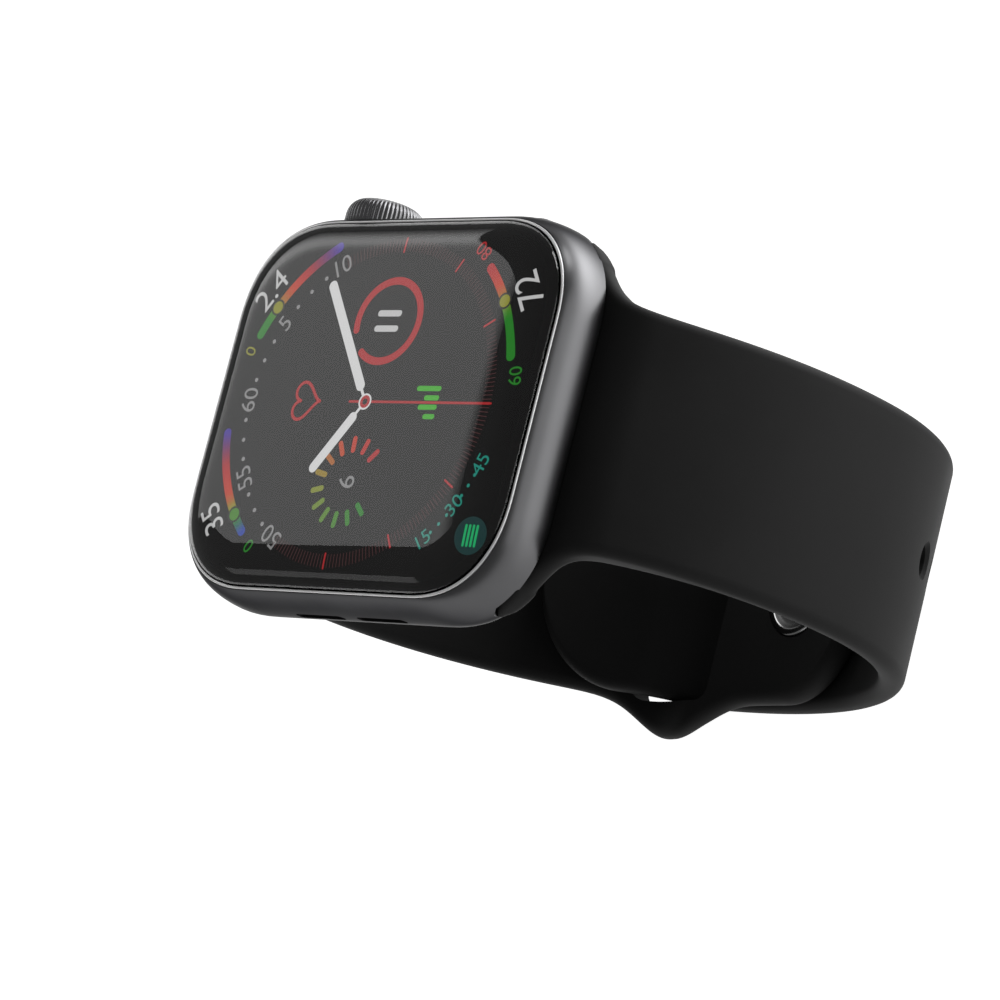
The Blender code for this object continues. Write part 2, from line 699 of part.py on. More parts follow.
def make_band():
    loop = Loop(loop_points())
    pin_back = LOOP_PIN
    pin_length = loop.half + pin_back
    strap_12 = lofted("strap_12", strap_rings(loop, 1, pin_length + STRAP_HALF, True), "elastomer")
    holes_pin = loop.half - pin_back
    strap_6 = lofted("strap_6", strap_rings(loop, -1, holes_pin + TAIL_LENGTH, False), "elastomer")
    middle_y = (SLOT_Y[0] + SLOT_Y[1]) / 2
    half_y = (SLOT_Y[1] - SLOT_Y[0]) / 2
    low = LOOP_CENTRE_Z - LOOP_DEPTH
    rings = []
    for z in (low - 3.0, low + 12.0):
        rings.append([(x, y + middle_y, z) for x, y, z in outline(SLOT_HALF, half_y, SLOT_RADIUS, z, 4)])
    slot = lofted("cutter_tuck_slot", rings, None)
    layer = STRAP_THICK + LAYER_GAP
    disc_depths = (layer + STRAP_THICK - 0.72, 9.0)
    recess = pierce(loop, "cutter_disc", pin_length, 1, disc_depths, DISC_RADIUS + 0.1, 32)
    post = pierce(loop, "cutter_post", pin_length, 1, (layer - 1.0, 9.0), POST_RADIUS + 0.1)
    cut(strap_12, slot, recess, post)
    first, last = HOLES_PAST_PIN
    for number in range(first, last + 1):
        length = holes_pin - number * HOLE_PITCH
        depth = strap_depth(-loop.point(length)[0], -1)
        depths = (depth - 1.5, depth + 4.5)
        hole = pierce(loop, f"cutter_hole_{number - first + 1}", length, -1, depths, HOLE_RADIUS)
        cut(strap_6, hole)
    make_pin(loop, holes_pin)
    for own_side, label, strap in ((1, "12", strap_12), (-1, "6", strap_6)):
        low = NECK_TOP_Z - NECK_THICK - LUG_EXTRA
        middle_y = own_side * (LUG_Y[0] + LUG_Y[1]) / 2
        middle = (0, middle_y, low)
        seat = stadium(f"cutter_latch_{label}", middle, 5.1, 0.6, (-1.0, 1.3), (1, 0, 0), (0, 0, 1), None)
        cut(strap, seat)
        stadium(f"lug_latch_{label}", middle, 5.0, 0.5, (0.04, 1.2), (1, 0, 0), (0, 0, 1), "steel")


MATERIALS = {}


def main():
    clear_scene()
    MATERIALS.update(make_materials())
    make_housing()
    make_front()
    make_back()
    make_crown()
    make_side_button()
    make_inside()
    make_band()


main()
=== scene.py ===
"""Looks for the smartwatch: finer surfaces, procedural materials, the dial, lights and the camera."""

import bisect
import math

import bmesh
import bpy
from mathutils import Matrix, Vector


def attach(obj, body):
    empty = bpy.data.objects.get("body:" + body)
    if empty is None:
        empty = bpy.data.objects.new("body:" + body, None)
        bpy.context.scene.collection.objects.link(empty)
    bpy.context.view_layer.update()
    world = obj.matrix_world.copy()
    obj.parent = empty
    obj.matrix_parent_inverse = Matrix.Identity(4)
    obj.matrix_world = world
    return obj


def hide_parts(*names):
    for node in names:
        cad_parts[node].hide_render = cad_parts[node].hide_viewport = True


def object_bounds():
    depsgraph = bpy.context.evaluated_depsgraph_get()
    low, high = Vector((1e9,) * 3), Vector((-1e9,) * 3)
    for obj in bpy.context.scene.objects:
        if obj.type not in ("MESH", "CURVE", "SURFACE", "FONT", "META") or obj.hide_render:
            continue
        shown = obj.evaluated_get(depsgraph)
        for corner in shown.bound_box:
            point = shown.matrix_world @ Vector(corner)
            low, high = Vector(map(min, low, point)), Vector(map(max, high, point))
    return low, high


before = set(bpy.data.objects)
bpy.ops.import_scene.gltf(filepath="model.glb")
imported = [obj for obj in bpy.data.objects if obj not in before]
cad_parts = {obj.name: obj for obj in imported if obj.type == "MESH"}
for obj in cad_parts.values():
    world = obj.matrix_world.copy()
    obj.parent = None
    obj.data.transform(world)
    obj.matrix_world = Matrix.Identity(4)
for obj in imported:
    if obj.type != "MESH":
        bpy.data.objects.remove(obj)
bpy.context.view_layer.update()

MM = 0.001

# The design's own sizes, in millimetres, as the CAD model has them.
HALF_X = 19.3
HALF_Y = 21.75
CORNER_RADIUS = 10.6
CORNER_SHARE = 0.55
SQUIRCLE = 2.35
BULGE_Z = 4.7
RIM_Z = 9.2
BACK_Z = 0.7
FRONT_PROFILE = (1.6, 4.9)
BACK_PROFILE = (3.6, 4.19)
GAP = 0.1
GLASS_INSET = 1.35
GLASS_TOP_Z = 10.7
GLASS_BOTTOM_Z = 8.3
GLASS_EDGE_RUN = 3.4
GLASS_POCKET_INSET = 2.4
GLASS_POCKET_Z = 9.6
LEDGE_Z = 7.85
CAVITY = (16.2, 16.0, 4.0)
FLOOR_Z = 2.0
REAR = (14.4, 14.6, 11.5)
REAR_STEP = 1.2
REAR_STEP_Z = 1.5
NECK_TOP_Z = 4.6
NECK_THICK = 2.3
LUG_EXTRA = 0.25
LUG_Y = (17.05, 19.7)
LUG_SHORT = 0.12
CHANNEL_CLEAR = 0.12
CHANNEL_CHAMFER = 0.9
BAR_BEVEL = 0.15
CONTROL_Z = 4.9
CROWN_Y = 9.1
CROWN_RADIUS = 3.85
CROWN_X = (18.3, 21.3)
POCKET_X = 17.5
BUSH_RADIUS = 2.0
SHAFT_RADIUS = 1.22
BUTTON_Y = -6.9
BUTTON_HALF = (6.1, 1.25)
BUTTON_FACE_X = 19.55
RELEASE_Y = 18.3
RELEASE_HALF = (3.0, 1.0)
SPEAKER_SLOT_Y = (-4.0, 4.0)
LOOP_RADIUS = 36.1
LOOP_CENTRE_Z = -21.5
LOOP_DEPTH = 29.8
SHOULDER_RADIUS = 6.0
STRAP_THICK = 2.6
STRAP_HALF = 11.3
FLARE = (4.35, 2.8, 1.15)
LAYER_GAP = 0.25
CROSS_Y = (2.1, 11.3)
BULGE_Y = 6.9
BULGE_EXTRA = 3.8
BULGE_SPREAD = 6.3
BULGE_POWER = 2.4
SLOT_Y = (1.2, 12.1)
SLOT_HALF = 11.55
SLOT_RADIUS = 1.7
TAIL_LENGTH = 36.0
HOLE_PITCH = 5.9
HOLE_RADIUS = 1.5
HOLES_PAST_PIN = (-1, 5)
EDGE_RADIUS = 1.15
NECK_LENGTH = 5.0
SHOULDER_EXTRA = 1.4
LOOP_PIN = 10.4
POST_RADIUS = 1.3
DISC_RADIUS = 4.7
BEAD_WIDTH = 0.3
BEAD_RISE = 0.22
BEAD_STEPS = 9

# The stage and its lights, in metres. The floor pools are painted pools of light, a brighter glow on the floor
# near the watch.
FLOOR_GAP = 0.0003
PAINTED_LIGHT_POOLS = (((0.15, -0.085, 0.0), 0.14, 10.0), ((0.04, -0.17, 0.0), 0.17, 2.0))
CARD_GRADE = ((0.2, 0.4), (0.3, 0.58), (0.4, 0.82), (0.5, 0.66), (0.75, 0.18))
CARD_PEAK = 2.5
CARD_NEAR_SIDE = 0.466
CARD_SLANT = (0.217, 0.62)
CARD_SOFTNESS = 0.008


# --- materials --------------------------------------------------------------------------------------------


class Graph:
    """A material's node tree, with short calls to build it."""

    def __init__(self, name):
        self.material = bpy.data.materials.new(name)
        self.material.use_nodes = True
        self.tree = self.material.node_tree
        self.shader = self.tree.nodes["Principled BSDF"]

    def add(self, kind, **values):
        node = self.tree.nodes.new(kind)
        for key, value in values.items():
            if hasattr(node, key):
                setattr(node, key, value)
            else:
                node.inputs[key.replace("_", " ")].default_value = value
        return node

    def link(self, source, target):
        self.tree.links.new(source, target)

    def set(self, **values):
        for key, value in values.items():
            self.shader.inputs[key.replace("_", " ")].default_value = value

    def coords(self, stretch=(1.0, 1.0, 1.0)):
        where = self.add("ShaderNodeTexCoord")
        scaled = self.add("ShaderNodeMapping")
        scaled.inputs["Scale"].default_value = stretch
        self.link(where.outputs["Object"], scaled.inputs["Vector"])
        return scaled.outputs["Vector"]

    def noise(self, scale, detail=4.0, roughness=0.5, stretch=(1.0, 1.0, 1.0)):
        texture = self.add("ShaderNodeTexNoise")
        texture.inputs["Scale"].default_value = scale
        texture.inputs["Detail"].default_value = detail
        texture.inputs["Roughness"].default_value = roughness
        self.link(self.coords(stretch), texture.inputs["Vector"])
        return texture.outputs["Fac"]

    def ramp(self, value, stops):
        ramp = self.add("ShaderNodeValToRGB")
        elements = ramp.color_ramp.elements
        while len(elements) < len(stops):
            elements.new(0.5)
        for element, (position, colour) in zip(elements, stops):
            element.position = position
            element.color = (*colour, 1.0)
        self.link(value, ramp.inputs["Fac"])
        return ramp.outputs["Color"]

    def spread(self, value, low, high):
        span = self.add("ShaderNodeMapRange")
        span.inputs["From Min"].default_value = 0.3
        span.inputs["From Max"].default_value = 0.7
        span.inputs["To Min"].default_value = low
        span.inputs["To Max"].default_value = high
        self.link(value, span.inputs["Value"])
        return span.outputs["Result"]

    def bump(self, height, strength, distance):
        bump = self.add("ShaderNodeBump")
        bump.inputs["Strength"].default_value = strength
        bump.inputs["Distance"].default_value = distance * MM
        self.link(height, bump.inputs["Height"])
        self.link(bump.outputs["Normal"], self.shader.inputs["Normal"])


def surface(name, dark, light, rough, patch, grain, bump, metallic=0.0, stretch=(1.0, 1.0, 1.0), **more):
    """Colour and gloss that wander at the patch size, with a fine bump for grain; sizes in mm."""
    graph = Graph(name)
    graph.set(Metallic=metallic, **more)
    wide = graph.noise(1000.0 / patch, 3.0, 0.55, stretch)
    fine = graph.noise(1000.0 / grain, 2.0, 0.6, stretch)
    graph.link(graph.ramp(wide, [(0.3, dark), (0.7, light)]), graph.shader.inputs["Base Color"])
    graph.link(graph.spread(wide, *rough), graph.shader.inputs["Roughness"])
    graph.bump(fine, *bump)
    return graph.material


def grey(value, tint=0.0):
    return (value, value, value * (1 + tint))


def coil_material():
    """Wound enamelled wire: rings round the Z axis."""
    graph = Graph("coil_winding")
    graph.set(Metallic=1.0)
    rings = graph.add("ShaderNodeTexWave", wave_type="RINGS", rings_direction="Z")
    rings.inputs["Scale"].default_value = 1000.0
    rings.inputs["Distortion"].default_value = 0.3
    graph.link(graph.coords(), rings.inputs["Vector"])
    colours = [(0.0, (0.25, 0.09, 0.03)), (1.0, (0.78, 0.38, 0.18))]
    graph.link(graph.ramp(rings.outputs["Fac"], colours), graph.shader.inputs["Base Color"])
    graph.link(graph.spread(rings.outputs["Fac"], 0.45, 0.25), graph.shader.inputs["Roughness"])
    graph.bump(rings.outputs["Fac"], 0.5, 0.05)
    return graph.material


def board_material():
    """Solder resist with pads."""
    graph = Graph("circuit_board")
    cells = graph.add("ShaderNodeTexVoronoi", feature="F1", distance="CHEBYCHEV")
    cells.inputs["Scale"].default_value = 900.0
    graph.link(graph.coords(), cells.inputs["Vector"])
    pads = [(0.0, (0.55, 0.42, 0.16)), (0.16, (0.5, 0.38, 0.14))]
    colours = pads + [(0.2, (0.01, 0.07, 0.035)), (1.0, (0.02, 0.1, 0.05))]
    graph.link(graph.ramp(cells.outputs["Distance"], colours), graph.shader.inputs["Base Color"])
    graph.link(graph.spread(cells.outputs["Distance"], 0.3, 0.5), graph.shader.inputs["Roughness"])
    graph.bump(cells.outputs["Distance"], 0.3, 0.03)
    return graph.material


def clear_glass():
    graph = Graph("cover_clear")
    graph.set(Transmission_Weight=1.0, IOR=1.5)
    graph.shader.inputs["Base Color"].default_value = (1.0, 1.0, 1.0, 1.0)
    graph.set(Roughness=0.0)
    film = graph.noise(45.0, 5.0, 0.6)
    tint = graph.ramp(film, [(0.0, (0.97, 0.97, 0.97)), (1.0, (1.0, 1.0, 1.0))])
    graph.link(tint, graph.shader.inputs["Base Color"])
    return graph.material


def dial_material():
    """Lit display elements; each carries its own colour."""
    graph = Graph("dial_light")
    colour = graph.add("ShaderNodeAttribute", attribute_name="tint")
    lines = graph.noise(9000.0, 1.0, 0.5)
    dim = graph.ramp(lines, [(0.0, (0.9, 0.9, 0.9)), (1.0, (1.0, 1.0, 1.0))])
    mix = graph.add("ShaderNodeMix", data_type="RGBA", blend_type="MULTIPLY")
    mix.inputs["Factor"].default_value = 1.0
    graph.link(colour.outputs["Color"], mix.inputs["A"])
    graph.link(dim, mix.inputs["B"])
    graph.link(mix.outputs["Result"], graph.shader.inputs["Emission Color"])
    graph.set(Emission_Strength=1.0, Base_Color=(0.0, 0.0, 0.0, 1.0), Roughness=0.6)
    return graph.material


def make_materials():
    none = (0.02, 0.01)
    return {
        "anodised": surface(
            "case_anodised",
            grey(0.082, 0.03),
            grey(0.096, 0.03),
            (0.27, 0.33),
            9.0,
            0.05,
            (0.12, 0.004),
            1.0,
            Specular_Tint=(0.3, 0.3, 0.3, 1.0),
        ),
        "control": surface(
            "control_metal", grey(0.13, 0.03), grey(0.155, 0.03), (0.24, 0.3), 5.0, 0.06, (0.12, 0.004), 1.0
        ),
        "rim": surface("rim_polished", grey(0.82), grey(0.9), (0.4, 0.46), 6.0, 0.05, none, 1.0),
        "clear": clear_glass(),
        "ink": surface(
            "glass_ink", grey(0.0012), grey(0.002), (0.7, 0.8), 4.0, 0.08, (0.0, 0.0), Specular_IOR_Level=0.0
        ),
        "display": surface("display_black", grey(0.0015), grey(0.0025), (0.3, 0.36), 5.0, 0.05, none),
        "crystal": surface(
            "crystal_black", grey(0.004), grey(0.007), (0.03, 0.06), 8.0, 0.2, none, 0.0, Coat_Weight=0.5
        ),
        "ceramic": surface("back_ceramic", grey(0.010), grey(0.016), (0.09, 0.15), 7.0, 0.12, none, 0.0),
        "steel": surface(
            "brushed_steel", grey(0.5), grey(0.62), (0.2, 0.32), 2.0, 0.09, (0.15, 0.006), 1.0, (1.0, 1.0, 12.0)
        ),
        "bright": surface("stud_bright", grey(0.3), grey(0.36), (0.1, 0.16), 3.0, 0.06, none, 1.0),
        "stud": surface("stud_face", grey(0.06), grey(0.08), (0.26, 0.34), 3.0, 0.05, (0.1, 0.004), 1.0),
        "elastomer": surface(
            "band_elastomer",
            grey(0.0115),
            grey(0.0145),
            (0.55, 0.65),
            14.0,
            0.09,
            (0.22, 0.012),
            IOR=1.14,
        ),
        "seal": surface("seal_rubber", grey(0.02), grey(0.035), (0.6, 0.75), 1.0, 0.1, (0.3, 0.02)),
        "cell": surface("cell_wrap", grey(0.05), grey(0.08), (0.35, 0.5), 3.0, 0.2, (0.2, 0.01)),
        "board": board_material(),
        "coil": coil_material(),
        "lens": surface("sensor_lens", (0.012, 0.03, 0.02), (0.02, 0.045, 0.03), (0.05, 0.1), 1.0, 0.1, none),
        "dial": dial_material(),
    }


# --- mesh building, in millimetres ------------------------------------------------------------------------


def build(name, bm, materials=(), smooth=35, body="case"):
    """Turns a bmesh in millimetres into an object in metres; a cutter has no materials and no body."""
    bmesh.ops.recalc_face_normals(bm, faces=bm.faces)
    bmesh.ops.scale(bm, vec=(MM, MM, MM), verts=bm.verts)
    mesh = bpy.data.meshes.new(name)
    bm.to_mesh(mesh)
    bm.free()
    obj = bpy.data.objects.new(name, mesh)
    bpy.context.scene.collection.objects.link(obj)
    for key in materials:
        mesh.materials.append(MATERIALS[key])
    if materials:
        mesh.shade_smooth()
        mesh.set_sharp_from_angle(angle=math.radians(smooth))
        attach(obj, body)
    return obj


def carve(obj, cutters, operation="DIFFERENCE", smooth=35):
    """Cuts the cutters out of obj for good, and removes them."""
    for cutter in cutters:
        modifier = obj.modifiers.new(cutter.name, "BOOLEAN")
        modifier.operation = operation
        modifier.object = cutter
        modifier.solver = "EXACT"
    bpy.context.view_layer.update()
    shape = obj.evaluated_get(bpy.context.evaluated_depsgraph_get())
    mesh = bpy.data.meshes.new_from_object(shape)
    obj.modifiers.clear()
    obj.data = mesh
    mesh.shade_smooth()
    mesh.set_sharp_from_angle(angle=math.radians(smooth))
    for cutter in cutters:
        bpy.data.objects.remove(cutter, do_unlink=True)
    return obj


def skin(bm, rings, closed):
    loops = [[bm.verts.new(point) for point in ring] for ring in rings]
    pairs = list(zip(loops, loops[1:]))
    if closed:
        pairs.append((loops[-1], loops[0]))
    else:
        bm.faces.new(loops[0])
        bm.faces.new(loops[-1])
    for low, high in pairs:
        for i in range(len(low)):
            j = (i + 1) % len(low)
            bm.faces.new((low[i], low[j], high[j], high[i]))


def lofted(name, rings, materials=(), closed=False, smooth=35, body="case"):
    bm = bmesh.new()
    skin(bm, rings, closed)
    return build(name, bm, materials, smooth, body)


def outline(half_x, half_y, radius, z, steps=22):
    points = []
    for quarter, (sign_x, sign_y) in enumerate(((1, 1), (-1, 1), (-1, -1), (1, -1))):
        angles = [math.pi / 2 * i / steps for i in range(steps + 1)]
        if quarter % 2:
            angles.reverse()
        for angle in angles:
            out_x = max(math.cos(angle), 0.0) ** (2 / SQUIRCLE)
            out_y = max(math.sin(angle), 0.0) ** (2 / SQUIRCLE)
            x = sign_x * (half_x - radius + radius * out_x)
            y = sign_y * (half_y - radius + radius * out_y)
            points.append((x, y, z))
    return points


def case_outline(inset, z, steps=22):
    return outline(HALF_X - inset, HALF_Y - inset, CORNER_RADIUS - CORNER_SHARE * inset, z, steps)


def case_half_x(y):
    out_y = max((y - HALF_Y + CORNER_RADIUS) / CORNER_RADIUS, 0.0)
    return HALF_X - CORNER_RADIUS + CORNER_RADIUS * (1 - out_y**SQUIRCLE) ** (1 / SQUIRCLE)


def turned(name, profile, centre, axis, materials=(), sides=64, ridges=None, smooth=35, body="case"):
    """A lathe shape from (distance along the axis, radius); ridges is (count, depth, first, last ring)."""
    along = Vector(axis)
    turn = along.to_track_quat("Z", "Y").to_matrix()
    rings = []
    for number, (distance, radius) in enumerate(profile):
        ring = []
        for i in range(sides):
            angle = 2 * math.pi * i / sides
            reach = radius
            if ridges and ridges[2] <= number <= ridges[3]:
                reach -= ridges[1] * (0.5 - 0.5 * math.cos(angle * ridges[0])) ** 2
            across = turn @ Vector((reach * math.cos(angle), reach * math.sin(angle), 0.0))
            ring.append(Vector(centre) + along * distance + across)
        rings.append(ring)
    return lofted(name, rings, materials, smooth=smooth, body=body)


def rod(name, centre, axis, length, radius, sides=48):
    return turned(name, [(0.0, radius), (length, radius)], centre, axis, (), sides)


def stadium(name, centre, half_long, half_short, layers, long_axis, depth_axis, materials=(), body="case"):
    """A bar with half-round ends. layers is (depth, inset) for each ring along depth_axis."""
    long_axis = Vector(long_axis)
    depth_axis = Vector(depth_axis)
    short_axis = depth_axis.cross(long_axis)
    rings = []
    for depth, inset in layers:
        reach = half_long - half_short
        radius = half_short - inset
        ring = []
        for side in (1, -1):
            for i in range(17):
                angle = -math.pi / 2 + math.pi * i / 16
                along = side * (reach + radius * math.cos(angle))
                across = side * radius * math.sin(angle)
                ring.append(Vector(centre) + long_axis * along + short_axis * across + depth_axis * depth)
        rings.append(ring)
    return lofted(name, rings, materials, body=body)


# --- housing ----------------------------------------------------------------------------------------------


def side_profile(steps=16):
    inset_axis, height_axis = FRONT_PROFILE
    front_end = math.asin((RIM_Z - BULGE_Z) / height_axis)
    profile = []
    for i in range(steps + 1):
        angle = front_end * (1 - i / steps)
        profile.append((inset_axis * (1 - math.cos(angle)), BULGE_Z + height_axis * math.sin(angle)))
    inset_axis, height_axis = BACK_PROFILE
    back_end = math.asin((BULGE_Z - BACK_Z) / height_axis)
    for i in range(1, steps + 1):
        angle = back_end * i / steps
        profile.append((inset_axis * (1 - math.cos(angle)), BULGE_Z - height_axis * math.sin(angle)))
    return profile


def channel_cutter(side):
    neck_low = NECK_TOP_Z - NECK_THICK - CHANNEL_CLEAR
    neck_high = NECK_TOP_Z + CHANNEL_CLEAR
    bar_low = neck_low - LUG_EXTRA
    bar_high = neck_high + LUG_EXTRA
    inner, step = LUG_Y[0] - CHANNEL_CLEAR, LUG_Y[1] + CHANNEL_CLEAR
    slope = CHANNEL_CHAMFER
    outside = HALF_Y + 2.0
    bevel = BAR_BEVEL
    section = [(inner + slope, bar_low), (step - bevel, bar_low), (step, bar_low + bevel), (step, neck_low)]
    section += [(outside, neck_low), (outside, neck_high), (step, neck_high), (step, bar_high - bevel)]
    section += [(step - bevel, bar_high), (inner + slope, bar_high), (inner, bar_high - slope)]
    section += [(inner, bar_low + slope)]
    reach = HALF_X + 2.0
    rings = [[(x, side * y, z) for y, z in section] for x in (-reach, reach)]
    return lofted(f"cutter_channel_{side}", rings)


def make_housing():
    bead = [(GLASS_INSET + 0.06, RIM_Z - 0.08)]
    for i in range(BEAD_STEPS):
        angle = math.pi * (1 - i / (BEAD_STEPS - 1))
        inset = GLASS_INSET - 0.01 - BEAD_WIDTH / 2 * (1 + math.cos(angle))
        bead.append((inset, RIM_Z - 0.06 + BEAD_RISE * math.sin(angle)))
    rings = [case_outline(inset, z) for inset, z in bead + side_profile()]
    housing = lofted("housing_shell", rings, ("anodised", "rim"))
    around = len(rings[0])
    for number, face in enumerate(housing.data.polygons):
        face.material_index = 1 if 2 <= number < 2 + around * BEAD_STEPS else 0
    above, below = GLASS_TOP_Z + 1.0, BACK_Z - 1.0
    cutters = [lofted("cutter_opening", [case_outline(GLASS_INSET - 0.02, z) for z in (LEDGE_Z, above)])]
    cutters.append(lofted("cutter_cavity", [outline(*CAVITY, z, 8) for z in (FLOOR_Z, LEDGE_Z + 0.5)]))
    cutters.append(lofted("cutter_rear", [outline(*REAR, z) for z in (below, REAR_STEP_Z)]))
    small = [size - REAR_STEP for size in REAR]
    cutters.append(lofted("cutter_rear_hole", [outline(*small, z) for z in (below, FLOOR_Z + 0.5)]))
    for side in (1, -1):
        cutters.append(channel_cutter(side))
        reach = (RELEASE_HALF[0] + GAP, RELEASE_HALF[1] + GAP)
        middle = (0, side * RELEASE_Y, 0)
        layers = ((-1.0, 0.0), (3.0, 0.0))
        cutters.append(stadium(f"cutter_release_{side}", middle, *reach, layers, (1, 0, 0), (0, 0, 1)))
    crown_middle = (0, CROWN_Y, CONTROL_Z)
    wide = CROWN_RADIUS + 0.12
    pocket = [(POCKET_X, wide), (HALF_X + 1.0, wide)]
    bore = [(CAVITY[0] - 2.0, BUSH_RADIUS + GAP), (POCKET_X + 0.5, BUSH_RADIUS + GAP)]
    cutters.append(turned("cutter_crown_pocket", pocket, crown_middle, (1, 0, 0), (), 96))
    cutters.append(turned("cutter_crown_bore", bore, crown_middle, (1, 0, 0), (), 48))
    through = ((CAVITY[0] - 2.0, 0.0), (HALF_X + 1.0, 0.0))
    button = (BUTTON_HALF[0] + GAP, BUTTON_HALF[1] + GAP)
    cutters.append(stadium("cutter_button", (0, BUTTON_Y, CONTROL_Z), *button, through, (0, 1, 0), (1, 0, 0)))
    cutters.append(rod("cutter_microphone", (14.0, 2.0, CONTROL_Z), (1, 0, 0), 6.0, 0.5, 24))
    for y in SPEAKER_SLOT_Y:
        middle = (0, y, CONTROL_Z)
        cutters.append(stadium(f"cutter_speaker_{y}", middle, 3.1, 0.55, through, (0, 1, 0), (-1, 0, 0)))
    carve(housing, cutters, smooth=30)
    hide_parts("case_housing")


# --- front ------------------------------------------------------------------------------------------------


def make_glass():
    """Clear cover glass, black behind: its sides, its border and the ceiling over the display."""
    steps = 18
    rings = [case_outline(GLASS_POCKET_INSET, GLASS_BOTTOM_Z), case_outline(GLASS_INSET, GLASS_BOTTOM_Z)]
    rings.append(case_outline(GLASS_INSET, RIM_Z - 0.1))
    for i in range(steps + 1):
        angle = math.pi / 2 * i / steps
        inset = GLASS_INSET + GLASS_EDGE_RUN * (1 - math.cos(angle))
        rings.append(case_outline(inset, RIM_Z + (GLASS_TOP_Z - RIM_Z) * math.sin(angle)))
    bm = bmesh.new()
    skin_rings = [case_outline(GLASS_POCKET_INSET, GLASS_POCKET_Z)] + rings
    skin(bm, skin_rings, False)
    glass = build("glass_cover", bm, ("clear", "ink"), 50)
    for face in glass.data.polygons:
        low = min(glass.data.vertices[i].co.z for i in face.vertices)
        face.material_index = 1 if low < (RIM_Z + 0.2) * MM or face.normal.z < -0.5 else 0
    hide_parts("cover_glass")


# --- controls ---------------------------------------------------------------------------------------------


def make_crown():
    inner, outer = CROWN_X
    middle = (0, CROWN_Y, CONTROL_Z)
    profile = [(inner + 0.02, CROWN_RADIUS - 0.48), (inner + 0.1, CROWN_RADIUS - 0.26)]
    first = len(profile)
    profile += [(inner + 0.25, CROWN_RADIUS - 0.12), (inner + 0.45, CROWN_RADIUS - 0.04)]
    for i in range(5):
        profile.append((inner + 0.7 + (outer - inner - 2.4) * i / 4, CROWN_RADIUS))
    for i in range(1, 13):
        angle = math.pi / 2 * i / 12
        profile.append((outer - 1.7 + 1.68 * math.sin(angle), CROWN_RADIUS - 1.33 * (1 - math.cos(angle))))
    ridges = (56, 0.1, first, first + 16)
    knob = turned("crown_wheel", profile, middle, (1, 0, 0), ("control",), 512, ridges, 50, "crown")
    recess = turned("cutter_recess", [(outer - 0.4, 2.3), (outer + 1.0, 2.3)], middle, (1, 0, 0), (), 96)
    socket = rod("cutter_socket", (inner - 1.0, CROWN_Y, CONTROL_Z), (1, 0, 0), 1.9, SHAFT_RADIUS + 0.05)
    carve(knob, [recess, socket], smooth=50)
    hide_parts("crown_knob")
    face = outer - 0.35
    cap = [(face, 2.05), (face, 2.2), (face + 0.18, 2.2), (face + 0.28, 2.1), (face + 0.28, 1.85)]
    cap += [(face + 0.2, 1.75), (face + 0.22, 1.0), (face + 0.24, 0.2)]
    dial = turned("crown_end_cap", cap, middle, (1, 0, 0), ("stud",), 96, None, 35, "crown")
    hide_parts("crown_cap")


def make_side_button():
    rounding = 0.28
    layers = [(15.2, 0.0), (BUTTON_FACE_X - rounding, 0.0)]
    for i in range(1, 6):
        angle = math.pi / 2 * i / 5
        layers.append((BUTTON_FACE_X - rounding + rounding * math.sin(angle), 0.3 * (1 - math.cos(angle))))
    middle = (0, BUTTON_Y, CONTROL_Z)
    button = stadium(
        "side_key_cap", middle, *BUTTON_HALF, layers, (0, 1, 0), (1, 0, 0), ("control",), "side_key"
    )
    flange = stadium(
        "side_key_flange", middle, BUTTON_HALF[0], 1.9, ((15.5, 0.0), (16.05, 0.0)), (0, 1, 0), (1, 0, 0)
    )
    carve(button, [flange], "UNION")
    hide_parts("side_button")


def make_back():
    """The domed crystal, with the sensor windows behind it."""
    flat, rim, dome, sides = 3.5, 11.0, 0.62, 40
    profile = []
    for i in range(15):
        share = i / 14
        profile.append((dome * share**2, flat + (rim - flat) * share))
    profile.append((1.25, rim))
    crystal = turned("back_crystal", profile, (0, 0, 0), (0, 0, 1), ("crystal",), 128)
    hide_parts("sensor_crystal")
    windows = bmesh.new()
    spots = [(0.0, 1.15)] + [(4.6, 1.5)] * 4
    for number, (reach, radius) in enumerate(spots):
        angle = math.pi / 4 + math.pi / 2 * number
        share = max(reach - flat, 0.0) / (rim - flat)
        centre = Vector((reach * math.cos(angle), reach * math.sin(angle), dome * share**2 + 0.006))
        turns = [2 * math.pi * i / sides for i in range(sides)]
        rings = []
        for layer in (0.0, 0.05):
            rings.append([centre + Vector((radius * math.cos(a), radius * math.sin(a), layer)) for a in turns])
        skin(windows, rings, False)
    build("sensor_windows", windows, ("lens",))


# --- band -------------------------------------------------------------------------------------------------


def loop_points():
    centre_z = NECK_TOP_Z - SHOULDER_RADIUS
    reach = LOOP_RADIUS - SHOULDER_RADIUS
    rise = centre_z - LOOP_CENTRE_Z
    shoulder_y = math.sqrt(reach * reach - rise * rise)
    join = math.atan2(rise, shoulder_y)
    points = []
    for i in range(12):
        points.append((LUG_Y[0] + (shoulder_y - LUG_Y[0]) * i / 12, NECK_TOP_Z))
    for i in range(24):
        angle = math.pi / 2 + (join - math.pi / 2) * i / 24
        y = shoulder_y + SHOULDER_RADIUS * math.cos(angle)
        points.append((y, centre_z + SHOULDER_RADIUS * math.sin(angle)))
    for i in range(80):
        angle = join * (1 - i / 80)
        points.append((LOOP_RADIUS * math.cos(angle), LOOP_CENTRE_Z + LOOP_RADIUS * math.sin(angle)))
    for i in range(161):
        angle = -math.pi / 2 * i / 160
        points.append((LOOP_RADIUS * math.cos(angle), LOOP_CENTRE_Z + LOOP_DEPTH * math.sin(angle)))
    return points + [(-y, z) for y, z in reversed(points[:-1])]


